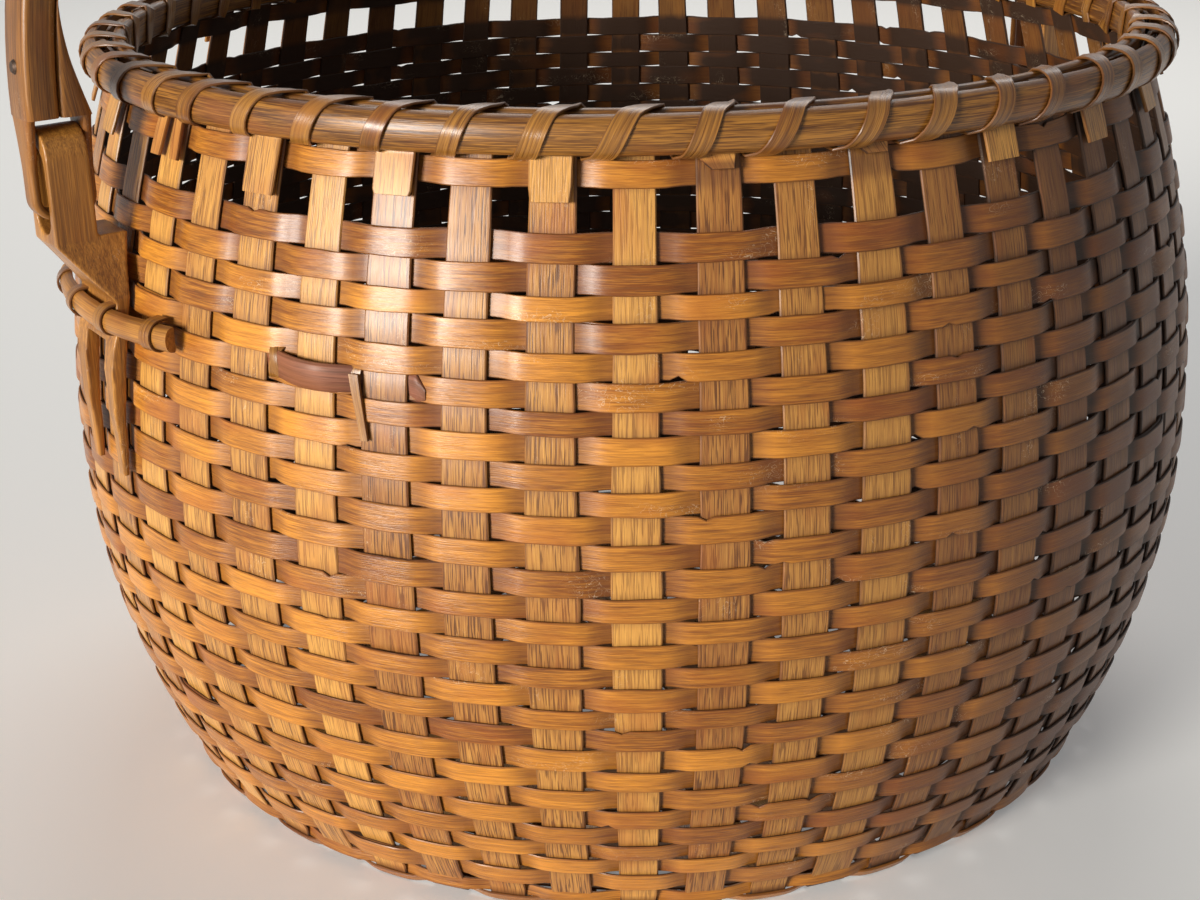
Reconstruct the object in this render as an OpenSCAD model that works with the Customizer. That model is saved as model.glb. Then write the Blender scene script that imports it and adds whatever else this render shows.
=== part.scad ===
// Round gathering basket woven from flat wood splints, with a bent swing handle.
// Every splint, hoop, ear, stay and the handle is a solid of its own.
// Origin: middle of the base on the floor.  +Z up.  The handle swings about the X direction.

/* [Rim] */
// Diameter of the rim over the outer hoop
rim_d = 400; // [370:1:430]
// Height of the basket from the floor to the top of the hoops
basket_h = 275; // [250:1:300]
// Height of the two rim hoops
hoop_h = 12; // [11:0.5:15]
// Depth of the half-round outer hoop
outer_hoop_t = 5; // [4:0.5:5.5]
// Thickness of the inner hoop
inner_hoop_t = 4.5; // [3:0.5:7]
// Width of the splint that lashes the hoops
lash_w = 7; // [5:0.5:8]
// Thickness of the lashing splint
lash_t = 0.8; // [0.6:0.1:1]

/* [Body] */
// Diameter over the weave at the belly
belly_d = 432; // [424:1:445]
// Height of the belly above the floor
belly_z = 129; // [110:1:145]
// Diameter over the weave where the wall meets the base
base_d = 368; // [352:1:384]
// Radius of the bend between the base and the wall
bend_r = 6; // [4:0.5:9]

/* [Splints] */
// Half the number of uprights
upright_pairs = 26; // [24:2:28]
// Width of an upright at the belly
upright_w = 16.5; // [14:0.1:17]
// Width of an upright at the rim
upright_top_w = 13; // [11:0.1:13.5]
// Width of an upright at the edge of the base
upright_base_w = 13.5; // [11:0.1:14]
// Thickness of an upright
upright_t = 1.2; // [0.9:0.1:1.4]
// Width of a weaver
weaver_w = 8.1; // [7:0.1:10]
// Thickness of a weaver
weaver_t = 0.9; // [0.7:0.1:1.2]
// Space between neighbouring weavers
row_gap = 0.3; // [0.2:0.1:1]
// Height of the open band under the top weaver
open_band = 12; // [8:0.5:16]
// Length of the tab where an upright is folded over the rim
tab_len = 26; // [16:1:28]

/* [Base] */
// Radius of the hub where the long uprights cross
hub_r = 42; // [36:1:44]
// Width of a long upright at the hub
hub_strip_w = 7; // [5:0.5:8]
// Width of a flat weaver in the base
base_weaver_w = 6; // [4:0.5:6.5]
// Distance from one base weaver to the next
base_pitch = 12.5; // [11.5:0.5:14]

/* [Ears] */
// Height of the swing axis below the rim top
axis_drop = 43.5; // [42:0.5:50]
// Gap between the weave and the arch of the ear
arch_gap = 10; // [8:0.1:14]
// Radius of the eye in the ear
eye_r = 6.3; // [6:0.1:7.5]
// Height of the straight part of the eye
eye_rise = 16; // [12:0.5:18]
// Thickness of the wood beside the eye
ear_leg_t = 3.7; // [3:0.1:5]
// Thickness of the wood over the eye
ear_top_t = 6.5; // [5:0.5:6.5]
// Depth of the arch that stands in the handle loop
arch_t = 14.2; // [10:0.1:14.2]
// Width of the ear where its tails begin
ear_w = 33; // [31:0.5:36]
// Thickness of the tails
tail_t = 4.6; // [3:0.1:6]
// Length of the tails below the swing axis
tail_len = 90; // [70:1:110]
// Width of a tail at its end
tail_w = 4.5; // [3:0.5:6]

/* [Stays] */
// Height of the swing axis above the stay that holds an ear
stay_drop = 34.5; // [32:0.5:40]
// Height of the half-round stay
stay_h = 8.5; // [7:0.5:10]
// Depth of the stay
stay_t = 4.2; // [3:0.1:4.2]
// Length of the stay
stay_len = 90; // [80:1:96]
// Width of the splints that tie the stay
tie_w = 5; // [4:0.5:6]

/* [Handle] */
// Depth of the bent handle bar
bar_t = 10.5; // [8:0.1:12]
// Width of the handle bar
bar_w = 18; // [14:0.5:22]
// Thickness of the thinned loop
loop_t = 3; // [2.5:0.1:3.5]
// Width of the loop in the eye
loop_w = 8.4; // [6:0.1:8.4]
// Width of the loop at the shoulder of the bar
loop_top_w = 15; // [10:0.5:16]
// Length of the loop above the swing axis
loop_len = 32; // [31.5:0.5:40]
// Length of the lapped end that is nailed to the bar
lap_len = 38; // [30:1:50]
// Shank diameter of the handle nails
nail_d = 2.2; // [1.6:0.1:3]

/* [Fits] */
// Clearance between pieces that lie on each other
fit = 0.3; // [0.25:0.05:0.4]
// Clearance between the handle loop and the arch of the ear
loop_play = 0.4; // [0.3:0.05:0.8]

/* [Hidden] */
uprights = 2 * upright_pairs;
step_a = 360 / uprights;
rim_r = rim_d / 2;
rim_z = basket_h - hoop_h;
// from the middle of an upright to the middle of a weaver that crosses it
weave_reach = upright_t / 2 + fit + weaver_t / 2;
// from the middle of an upright to the outer face of that weaver
weave_skin = weave_reach + weaver_t / 2;
// from the middle of a folded upright to the middle of its tab at the rim
tab_reach = upright_t + 2 * fit + weaver_t;
neck_r = rim_r - outer_hoop_t - fit - upright_t / 2 - tab_reach;
belly_r = belly_d / 2 - weave_skin;
foot_r = base_d / 2 - weave_skin;

// radius of an arc that draws in by drop over a height of rise
function arc_r(rise, drop) = (rise * rise + drop * drop) / (2 * drop);
upper_arc_r = arc_r(rim_z - belly_z, belly_r - neck_r);
lower_arc_r = arc_r(belly_z, belly_r - foot_r);
// swells from the rim to the belly and draws in to the base
function swell_r(z) =
    let (r = z > belly_z ? upper_arc_r : lower_arc_r)
    belly_r - r + sign(r) * sqrt(r * r - pow(z - belly_z, 2));
bend_z = upright_t / 2 + bend_r;
wall_steps = 10;
wall = [for (k = [0 : wall_steps])
    let (z = bend_z + (rim_z - bend_z) * k / wall_steps) [z, swell_r(z)]];
// middle of the uprights, straight from one step of the wall to the next
function wall_r(z) = lookup(z, wall);
// change of that radius per millimetre of height, over a width across it
function wall_slope(z, w) =
    let (low = max(z - w / 2, bend_z))
    (wall_r(z + w / 2) - wall_r(low)) / (z + w / 2 - low);

lash_room = lash_t + 3 * fit;
top_weaver_z = rim_z - lash_room - weaver_w / 2;
rim_weaver_w = weaver_w - 1;
rim_weaver_z = rim_z + 1 + rim_weaver_w / 2;
first_row_z = top_weaver_z - weaver_w - open_band;
row_pitch = weaver_w + row_gap;
row_zs = [for (z = first_row_z; z > bend_z + weaver_w / 3;
               z = z - row_pitch * cos(atan(wall_slope(z, weaver_w)))) z];
rows = len(row_zs);
// rows that lean more than this follow the lean; the others stand straight
straight_up_to = tan(14);

base_mid_z = weave_reach + upright_t / 2;
bend_start_r = wall_r(bend_z) - bend_r;
ring_start_r = hub_r + base_weaver_w;
base_rings = floor((bend_start_r - base_weaver_w - ring_start_r) / base_pitch) + 1;
// the short uprights begin narrow, where there is room for all of them
short_start_w = upright_base_w * 0.72;
short_room = short_start_w * 1.2;
short_ring = ceil((uprights * short_room / (2 * PI) - ring_start_r) / base_pitch);
short_r = ring_start_r + short_ring * base_pitch - base_weaver_w / 2 - 1;

axis_z = basket_h - axis_drop;
shoulder_z = axis_z - eye_r - 0.7;
stay_z = axis_z - stay_drop;
// from the weave outwards: the arch, then the loop round it, then the bar
arch_in_x = ear_back(shoulder_z) + arch_gap;
loop_in_x = arch_in_x - loop_play - loop_t;
bar_out_x = loop_in_x + 2 * bar_t + fit;
arch_out_x = min(bar_out_x - loop_t - loop_play, arch_in_x + arch_t);
loop_bottom_z = axis_z - loop_t / 2;
bar_z = axis_z + loop_len;
eye_z = axis_z + eye_rise;

function row_name(j) = str("weaver_", j < 10 ? "0" : "", j);

// ---- strips bent along a line ----

function heading(p, k) =
    let (a = p[max(k - 1, 0)], b = p[min(k + 1, len(p) - 1)])
    atan2(b[1] - a[1], b[0] - a[0]);
function beside(p, d) =
    [for (k = [0 : len(p) - 1]) p[k] + d * [-sin(heading(p, k)), cos(heading(p, k))]];
function backwards(p) = [for (k = [len(p) - 1 : -1 : 0]) p[k]];
function strip(p, t) = concat(beside(p, t / 2), backwards(beside(p, -t / 2)));
// outline that is the same on both sides of the middle line, from its right half
function both_sides(p) = concat(p, [for (q = backwards(p)) [-q[0], q[1]]]);

// ---- uprights ----

// above or below a base weaver: 1 or -1
function base_side(i, j) =
    (j < short_ring ? floor(i / 2) + j : i + j) % 2 == 0 ? 1 : -1;

function base_line(i, from) =
    [for (j = [from : base_rings - 1])
        let (r = ring_start_r + j * base_pitch, z = base_mid_z + base_side(i, j) * weave_reach)
        each [[r - base_weaver_w / 2, z], [r + base_weaver_w / 2, z]]];

function bend_line() =
    [for (a = [0 : 30 : 60]) [bend_start_r + bend_r * sin(a), upright_t / 2 + bend_r * (1 - cos(a))]];

function wall_line() = [for (p = wall) [p[1], p[0]]];

fold_z = rim_weaver_z + rim_weaver_w / 2 + fit + upright_t / 2;
function fold_line() = [
    [neck_r, fold_z - upright_t],
    [neck_r + tab_reach * 0.25, fold_z],
    [neck_r + tab_reach * 0.75, fold_z],
    [neck_r + tab_reach, fold_z - upright_t],
    [neck_r + tab_reach, rim_z],
    [wall_r(rim_z - 3) + upright_t + fit * 2, rim_z - 3],
    [wall_r(fold_z - tab_len) + upright_t + fit, fold_z - tab_len]];

function width_at(z) =
    z > belly_z
        ? upright_w + (upright_top_w - upright_w) * (z - belly_z) / (rim_z - belly_z)
        : upright_base_w + (upright_w - upright_base_w) * z / belly_z;

module upright_shape(line, start_r, start_w) {
    deep = 2 * upright_w;
    intersection() {
        rotate([90, 0, 0])
            linear_extrude(height = deep, center = true)
                polygon(strip(line, upright_t));
        // width seen from outside
        rotate([90, 0, 90])
            linear_extrude(height = 2 * rim_r)
                polygon(both_sides([
                    [upright_base_w / 2, -1], [upright_w / 2, belly_z],
                    [upright_top_w / 2, rim_z], [upright_top_w / 2, basket_h + 1]]));
        // width seen from above
        linear_extrude(height = 4 * basket_h, center = true)
            polygon([
                [start_r, -start_w / 2], [bend_start_r, -upright_base_w / 2], [bend_start_r, -deep],
                [2 * rim_r, -deep], [2 * rim_r, deep], [bend_start_r, deep],
                [bend_start_r, upright_base_w / 2], [start_r, start_w / 2]]);
    }
}

// every even upright runs from the hub and is cut off level with the rim
module uprights_plain() {
    color("#b07f45")
        for (i = [0 : 2 : uprights - 1])
            rotate([0, 0, i * step_a])
                upright_shape(
                    concat([[hub_r, base_mid_z]], base_line(i, 0), bend_line(), wall_line(),
                           [[neck_r, basket_h - 1]]),
                    hub_r, hub_strip_w);
}

// every odd upright is folded outwards over the rim weaver and ends in a tab
module uprights_folded() {
    color("#c08f50")
        for (i = [1 : 2 : uprights - 1])
            rotate([0, 0, i * step_a])
                upright_shape(
                    concat([[short_r, base_mid_z + base_side(i, short_ring) * weave_reach]],
                           base_line(i, short_ring), bend_line(), wall_line(), fold_line()),
                    short_r, short_start_w);
}

// ---- weavers ----

// outline of a weaver ring, outside the even uprights when side is 1
function ring_line(mid_r, reach, half_a, side, shift) =
    [for (i = [0 : uprights - 1])
        let (out = (i % 2 == 0 ? side : -side), r = (mid_r + out * reach + shift) / cos(half_a))
        each [for (a = [-half_a, half_a]) r * [cos(i * step_a + a), sin(i * step_a + a)]]];

module weaver(z, w, side) {
    lean = wall_slope(z, w);
    leans = abs(lean) > straight_up_to;
    // a row that leans keeps its width, thickness and clearance square to the wall
    slant = leans ? sqrt(1 + lean * lean) : 1;
    h = w / slant;
    reach = weave_reach * slant + (leans ? 0 : h / 2 * abs(lean));
    low_r = wall_r(z) - (leans ? h / 2 * lean : 0);
    high_r = wall_r(z) + (leans ? h / 2 * lean : 0);
    half_t = weaver_t / 2 * slant;
    half_a = asin((width_at(z) / 2 + fit) / wall_r(z));
    translate([0, 0, z - h / 2])
        linear_extrude(height = h, scale = high_r / low_r)
            difference() {
                polygon(ring_line(low_r, reach, half_a, side, half_t));
                polygon(ring_line(low_r, reach, half_a, side, -half_t));
            }
}

module top_weaver() { color("#a8682c") weaver(top_weaver_z, weaver_w, 1); }
module rim_weaver() { color("#a8682c") weaver(rim_weaver_z, rim_weaver_w, -1); }

module base_weavers() {
    color("#a3672e")
        for (j = [0 : base_rings - 1])
            translate([0, 0, base_mid_z - weaver_t / 2])
                difference() {
                    r = ring_start_r + j * base_pitch;
                    cylinder(h = weaver_t, r = r + base_weaver_w / 2 - fit, $fn = 180);
                    translate([0, 0, -1])
                        cylinder(h = weaver_t + 2, r = r - base_weaver_w / 2 + fit, $fn = 180);
                }
}

// the long uprights cross here as one flat star
module base_hub() {
    color("#9a6a38")
        translate([0, 0, base_mid_z - upright_t])
            linear_extrude(height = 2 * upright_t)
                for (i = [0 : 2 : upright_pairs - 1])
                    rotate(i * step_a)
                        square([2 * (hub_r - fit), hub_strip_w], center = true);
}

// ---- rim ----

module half_round(depth, h) {
    r = (h * h / 4 + depth * depth) / (2 * depth);
    intersection() {
        translate([depth - r, 0]) circle(r = r, $fn = 64);
        translate([0, -h / 2]) square([depth, h]);
    }
}

module outer_hoop() {
    color("#b5752f")
        translate([0, 0, rim_z + hoop_h / 2])
            rotate_extrude($fn = 180)
                translate([rim_r - outer_hoop_t, 0]) half_round(outer_hoop_t, hoop_h);
}

inner_hoop_out_r = neck_r - weave_skin - fit;
inner_hoop_in_r = inner_hoop_out_r - inner_hoop_t;
module inner_hoop() {
    edge = inner_hoop_t / 3;
    color("#a56a2c")
        translate([0, 0, rim_z])
            rotate_extrude($fn = 180)
                polygon([
                    [inner_hoop_out_r, 0], [inner_hoop_out_r, hoop_h],
                    [inner_hoop_in_r + edge, hoop_h], [inner_hoop_in_r, hoop_h - edge],
                    [inner_hoop_in_r, edge], [inner_hoop_in_r + edge, 0]]);
}

// one splint that runs round both hoops, once for each space between the uprights
lash_off = fit + lash_t / 2;
crown_r = (hoop_h * hoop_h / 4 + outer_hoop_t * outer_hoop_t) / (2 * outer_hoop_t);
function crown(a) =
    [rim_r - crown_r, rim_z + hoop_h / 2] + (crown_r + lash_off + 0.6) * [cos(a), sin(a)];
// each station: radius, height and share of the step to the next space
lash_turn = [
    [inner_hoop_in_r - lash_off, rim_z - lash_off, 0],
    [rim_r - outer_hoop_t + 1, rim_z - lash_off - 0.2, 0],
    [each crown(-24), 0.12],
    [each crown(24), 0.38],
    [rim_r - outer_hoop_t + 1, basket_h + lash_off + 0.2, 0.54],
    [inner_hoop_in_r - lash_off, basket_h + lash_off, 0.76]];
stations = len(lash_turn);
function lash_normal(k) =
    let (a = lash_turn[(k + stations - 1) % stations], b = lash_turn[(k + 1) % stations],
         d = [b[0] - a[0], b[1] - a[1]])
    [d[1], -d[0]] / norm(d);
function lash_ring(turn, k) =
    let (a = (turn + 0.5 + lash_turn[k][2]) * step_a,
         out = [cos(a), sin(a), 0], along = [-sin(a), cos(a), 0], n = lash_normal(k),
         mid = lash_turn[k][0] * out + [0, 0, lash_turn[k][1]],
         up = (n[0] * out + [0, 0, n[1]]) * lash_t / 2, wide = along * lash_w / 2)
    [mid - up - wide, mid - up + wide, mid + up + wide, mid + up - wide];

module rim_lashing() {
    total = uprights * stations;
    points = [for (turn = [0 : uprights - 1], k = [0 : stations - 1]) each lash_ring(turn, k)];
    faces = [for (s = [0 : total - 1], c = [0 : 3])
        [4 * s + c, 4 * s + (c + 1) % 4, 4 * ((s + 1) % total) + (c + 1) % 4, 4 * ((s + 1) % total) + c]];
    color("#b98443") polyhedron(points, faces, convexity = 10);
}

// ---- ears ----

// keeps straight sides a hair inside the arcs that they run into
tangent_trim = 0.998;

// back of the ear: lies on the weave
function ear_back(z) =
    wall_r(z) + weave_skin + weaver_w * abs(wall_slope(z, weaver_w)) + fit;
tail_z = axis_z - tail_len;
ear_steps = 8;
stay_x = ear_back(stay_z - stay_h / 2) + tail_t + fit;
tie_t = 0.8;
// the ear's slope ends above the ties
slope_end_z = stay_z + stay_h / 2 + tie_t + 3 * fit;

module ear_side() {
    back = [for (k = [0 : ear_steps])
        let (z = tail_z + (shoulder_z - tail_z) * k / ear_steps) [ear_back(z), z]];
    front = [for (k = [0 : ear_steps])
        let (z = slope_end_z - (slope_end_z - tail_z) * k / ear_steps)
        [ear_back(z) + tail_t * (1 - 0.6 * k / ear_steps), z]];
    polygon(concat(
        back,
        [[arch_in_x, shoulder_z], [arch_in_x, bar_z], [arch_out_x, bar_z], [arch_out_x, shoulder_z - 2]],
        front));
}

module ear_face() {
    half = eye_r + ear_leg_t;
    top_z = eye_z + eye_r + ear_top_t;
    slot = upright_w / 2;
    polygon(both_sides(concat(
        [for (a = [84 : -12 : 0]) [half * cos(a), top_z - half + half * sin(a)]],
        [[half, shoulder_z - 1],
         [ear_w / 2, slope_end_z + 1], [ear_w / 2, stay_z - stay_h],
         [slot + 1 + tail_w, tail_z], [slot + 1, tail_z], [slot, stay_z - stay_h]])));
}

module ear() {
    difference() {
        intersection() {
            rotate([90, 0, 0])
                linear_extrude(height = 2 * ear_w, center = true) ear_side();
            rotate([90, 0, 90])
                linear_extrude(height = 2 * rim_r) ear_face();
        }
        // eye, round at the bottom about the swing axis
        for (z = [axis_z, eye_z])
            translate([rim_r, 0, z])
                rotate([0, 90, 0]) cylinder(h = rim_r, r = eye_r, $fn = 64);
        translate([rim_r, -eye_r * tangent_trim, axis_z])
            cube([rim_r, 2 * eye_r * tangent_trim, eye_rise]);
        // seat that takes the bent stay
        translate([stay_x - stay_r, 0, stay_z - stay_h / 2 - fit])
            difference() {
                cylinder(h = stay_h + 2 * fit, r = 2 * stay_r, $fn = 180);
                translate([0, 0, -1])
                    cylinder(h = stay_h + 2 * fit + 2, r = stay_r - fit, $fn = 180);
            }
    }
}

module ear_right() { color("#9c6b3a") ear(); }
module ear_left() { color("#9c6b3a") rotate([0, 0, 180]) ear(); }

// ---- stays and their ties ----

stay_half = stay_len / 2;
stay_end_x = sqrt(pow(ear_back(stay_z - stay_h / 2) + fit, 2) - stay_half * stay_half);
stay_sag = stay_x - stay_end_x;
stay_r = (stay_half * stay_half + stay_sag * stay_sag) / (2 * stay_sag);

module stay() {
    a = asin(stay_half / stay_r);
    translate([stay_x - stay_r, 0, stay_z])
        rotate([0, 0, -a])
            rotate_extrude(angle = 2 * a, $fn = 180)
                translate([stay_r, 0]) half_round(stay_t, stay_h);
}

module stay_right() { color("#a9702f") stay(); }
module stay_left() { color("#a9702f") rotate([0, 0, 180]) stay(); }

// a splint square over the stay, down to the ear or the weave on both sides
module tie(i) {
    a = (i + 0.5) * step_a;
    y = ear_back(stay_z) * sin(a);
    turn = asin(y / stay_r);
    centre_x = stay_x - stay_r;
    grown = stay_h / 2 + fit;
    under_r = ear_back(stay_z - grown - tie_t) + fit;
    // where its ends stop, from the centre of the stay's bend
    back = abs(y) < ear_w / 2
        ? (under_r + tail_t - centre_x + tie_w / 2 * sin(abs(turn))) / cos(turn)
        : sqrt(pow(under_r, 2) - pow(centre_x * sin(turn), 2)) - centre_x * cos(turn)
            + tie_w / 2 * tan(abs(turn) - abs(a));
    translate([centre_x, 0, stay_z])
        rotate([90, 0, turn])
            linear_extrude(height = tie_w, center = true)
                difference() {
                    union() {
                        translate([stay_r, 0]) round_over(stay_t + fit + tie_t + 0.5, 2 * (grown + tie_t));
                        translate([back, -grown - tie_t]) square([stay_r - back + 0.01, 2 * (grown + tie_t)]);
                    }
                    union() {
                        translate([stay_r, 0]) round_over(stay_t + fit + 0.5, 2 * grown);
                        translate([back - 1, -grown]) square([stay_r - back + 1.01, 2 * grown]);
                    }
                }
}
module round_over(depth, h) { half_round(min(depth, h / 2), h); }

module stay_ties() {
    color("#c08a45")
        for (turn = [0, 180], i = [-2 : 1])
            rotate([0, 0, turn]) tie(i);
}

// ---- handle ----

module rounded(x0, x1, z0, z1, r) {
    translate([x0 + r, z0 + r]) circle(r = r, $fn = 48);
    translate([x1 - r, z0 + r]) circle(r = r, $fn = 48);
    translate([x0 + r, z0]) square([x1 - x0 - 2 * r, z1 - z0]);
    translate([x0, z0 + r]) square([x1 - x0, z1 - z0 - r]);
}

loop_corner_r = loop_t + 4;
// the loop widens from here up to the shoulder
narrow_z = axis_z + loop_len * 0.45;
module loop_side() {
    difference() {
        rounded(loop_in_x, bar_out_x, loop_bottom_z, bar_z + 2, loop_corner_r);
        rounded(loop_in_x + loop_t, bar_out_x - loop_t, loop_bottom_z + loop_t, bar_z + 3,
                loop_corner_r - loop_t);
    }
}

module bar_side() {
    translate([0, bar_z])
        intersection() {
            difference() {
                circle(r = bar_out_x, $fn = 360);
                circle(r = bar_out_x - bar_t, $fn = 360);
            }
            translate([-bar_out_x - 1, 0]) square([2 * bar_out_x + 2, bar_out_x + 1]);
        }
}

// the end of the bar is doubled back through the eye and lies against its inside
lap_steps = 8;
lap_out_r = bar_out_x - bar_t - fit;
function lap_line() = concat(
    [[loop_in_x, bar_z]],
    [for (k = [0 : lap_steps])
        let (z = lap_len * k / lap_steps) [sqrt(lap_out_r * lap_out_r - z * z), bar_z + z]]);

// places a nail through the bar into the lap, along the radius of the bend
nail_up = lap_len * 0.42;
nail_a = asin(nail_up / bar_out_x);
nail_bite = 2.6;
module at_nails() {
    for (turn = [0, 180])
        rotate([0, 0, turn])
            translate([0, 0, bar_z])
                rotate([0, -nail_a, 0])
                    translate([bar_out_x, 0, 0]) rotate([0, 90, 0]) children();
}

module handle() {
    color("#b27a3a") {
        difference() {
            rotate([90, 0, 0])
                linear_extrude(height = bar_w, center = true) {
                    bar_side();
                    for (m = [0, 1]) mirror([m, 0]) polygon(lap_line());
                }
            at_nails()
                translate([0, 0, -bar_t - fit - nail_bite - fit])
                    cylinder(h = 2 * bar_t, d = nail_d + 0.1, $fn = 32);
        }
        for (turn = [0, 180])
            rotate([0, 0, turn])
                intersection() {
                    rotate([90, 0, 0])
                        linear_extrude(height = 2 * bar_w, center = true) loop_side();
                    rotate([90, 0, 90])
                        linear_extrude(height = 2 * rim_r)
                            polygon(both_sides([
                                [loop_w / 2, 0], [loop_w / 2, narrow_z],
                                [loop_top_w / 2, bar_z], [loop_top_w / 2, bar_z + 0.5]]));
                }
    }
}

module handle_nails() {
    head_d = 2.2 * nail_d;
    color("#4a443c")
        at_nails() {
            translate([0, 0, -bar_t - fit - nail_bite])
                cylinder(h = bar_t + fit + nail_bite + 0.5, d = nail_d, $fn = 32);
            translate([0, 0, 0.02]) cylinder(h = 0.9, d1 = head_d, d2 = head_d * 0.7, $fn = 32);
        }
}

base_hub();
base_weavers();
uprights_plain();
uprights_folded();
for (j = [1 : rows])
    color(j % 3 == 0 ? "#a5642a" : j % 3 == 1 ? "#b87a35" : "#9c5c28")
            weaver(row_zs[j - 1], weaver_w, j % 2 == 0 ? 1 : -1);
top_weaver();
rim_weaver();
outer_hoop();
inner_hoop();
rim_lashing();
ear_left();
ear_right();
stay_left();
stay_right();
stay_ties();
handle();
handle_nails();
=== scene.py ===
"""Looks of a round splint basket with a bent swing handle.

Every splint is rebuilt as a bent strip that follows the same rows, uprights and hoops
as the CAD frame.  Lengths are in millimetres until a piece is made, then metres.
"""

import math

import bmesh
import bpy
import numpy as np
from mathutils import Matrix, Vector, noise


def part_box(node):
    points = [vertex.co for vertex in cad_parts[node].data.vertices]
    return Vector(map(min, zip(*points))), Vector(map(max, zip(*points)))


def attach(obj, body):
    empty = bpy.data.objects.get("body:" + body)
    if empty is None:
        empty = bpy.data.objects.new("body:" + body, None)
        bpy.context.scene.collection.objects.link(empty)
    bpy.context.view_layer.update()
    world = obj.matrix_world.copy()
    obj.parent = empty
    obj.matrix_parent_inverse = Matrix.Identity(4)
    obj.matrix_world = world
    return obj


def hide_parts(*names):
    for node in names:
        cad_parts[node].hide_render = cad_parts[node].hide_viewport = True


MM = 0.001
TAU = 2 * math.pi

# ---- the frame, and the driving sizes that it shares with the solids ----

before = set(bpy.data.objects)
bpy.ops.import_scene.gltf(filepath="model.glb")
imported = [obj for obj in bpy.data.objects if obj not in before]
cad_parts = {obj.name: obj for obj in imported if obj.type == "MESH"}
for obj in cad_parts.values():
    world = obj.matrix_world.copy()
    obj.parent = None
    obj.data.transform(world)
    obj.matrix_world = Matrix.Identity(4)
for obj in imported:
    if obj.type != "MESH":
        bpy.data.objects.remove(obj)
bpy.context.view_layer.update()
rng = np.random.default_rng(1907)


def cad_box(node):
    low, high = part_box(node)
    return np.array(low) / MM, np.array(high) / MM


# part.scad's sizes, taken from the frame where one of its boxes gives them
ROWS = sum(name.startswith("weaver_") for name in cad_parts)
UPRIGHTS = 52
STEP = TAU / UPRIGHTS
RIM_R = cad_box("outer_hoop")[1][0]
RIM_Z, BASKET_H = cad_box("outer_hoop")[0][2], cad_box("outer_hoop")[1][2]
HOOP_H = BASKET_H - RIM_Z
OUTER_T, INNER_T = 5.0, 4.5
UPRIGHT_T, UPRIGHT_W, UPRIGHT_TOP_W, UPRIGHT_BASE_W = 1.2, 16.5, 13.0, 13.5
WEAVER_T, WEAVER_W = 0.9, 8.1
NECK_R, BELLY_R, FOOT_R, BELLY_Z = 191.4, 214.2, 182.2, 129.0  # of the uprights' middle
REACH = 1.25  # a weaver's middle from an upright's middle where they cross
BEND_R = 6.0
HUB_R, HUB_STRIP_W = 42.0, 7.0
BASE_W, BASE_PITCH, BASE_MID_Z = 6.0, 12.5, 1.95
RING_START_R = HUB_R + BASE_W
BEND_Z = UPRIGHT_T / 2 + BEND_R
AXIS_Z = BASKET_H - 43.5
STAY_Z, STAY_H, STAY_T = AXIS_Z - 34.5, 8.5, 4.2
BAR_T, BAR_W, LOOP_T, LOOP_W, LOOP_TOP_W = 10.5, 18.0, 3.0, 8.4, 15.0
LOOP_BEND_R, LOOP_NARROW = 4.0, 14.4
BAR_OUT_X = cad_box("handle")[1][0]
BAR_Z = AXIS_Z + 32.0
LAP_LEN, LAP_TIP_T = 38.0, 0.25
FIT = 0.3
WAVE_SHARPNESS = 2.0  # how quickly a weaver crosses from one side to the other


def arc_r(rise, drop):
    """Radius of the arc that falls by drop over a length of rise."""
    return (rise * rise + drop * drop) / (2 * drop)


UPPER_R = arc_r(RIM_Z - BELLY_Z, BELLY_R - NECK_R)
LOWER_R = arc_r(BELLY_Z, BELLY_R - FOOT_R)


def wall_r(z):
    """Radius of the uprights' middle at a height."""
    z = np.minimum(z, RIM_Z)
    arc = np.where(z > BELLY_Z, UPPER_R, LOWER_R)
    return BELLY_R - arc + np.sqrt(arc * arc - (z - BELLY_Z) ** 2)


def wall_slope(z):
    """How far the wall moves outward for each millimetre up."""
    arc = np.where(z > BELLY_Z, UPPER_R, LOWER_R)
    lean = (BELLY_Z - z) / np.sqrt(arc * arc - (np.minimum(z, RIM_Z) - BELLY_Z) ** 2)
    return np.where(z >= RIM_Z, 0, lean)


def around(angle):
    """Outward and sideways directions at an angle round the basket."""
    angle = np.asarray(angle, float)
    zero = np.zeros_like(angle)
    out = np.stack([np.cos(angle), np.sin(angle), zero], -1)
    along = np.stack([-np.sin(angle), np.cos(angle), zero], -1)
    return out, along


UP = np.array([0.0, 0.0, 1.0])


def unit(v):
    return v / np.maximum(np.linalg.norm(v, axis=-1, keepdims=True), 1e-12)


def wander(x, seed, scale=1.0):
    """Smooth random curve of about -1 to 1 along x, with about scale waves in a length of 1.

    Each use has a seed of its own, so that a change to one strip leaves the others as they are.
    """
    local = np.random.default_rng(seed)
    total = np.zeros_like(np.asarray(x, float))
    for octave in range(4):
        f = scale * (1.0 + octave * 1.37) * local.uniform(0.8, 1.2)
        total += np.sin(TAU * f * x + local.uniform(0, TAU)) / (1 + octave)
    return total / 1.6


# ---- strips ----


def splint_section(crown=0.06, bevel=0.028):
    """Cross-section of a splint in shares of its width and thickness: flat, with small bevels."""
    e = 0.5 - bevel
    near = e - 0.03  # holds the face flat up to the bevel
    high, mid = 0.5 + crown, 0.5 + crown / 3
    top = [(-e, 0.5), (-near, mid), (-0.2, high), (0.2, high), (near, mid), (e, 0.5)]
    low = [(e, -0.5), (near, -0.5), (-near, -0.5), (-e, -0.5)]
    return np.array([(-0.5, -0.2), (-0.5, 0.2), *top, (0.5, 0.2), (0.5, -0.2), *low])


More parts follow.
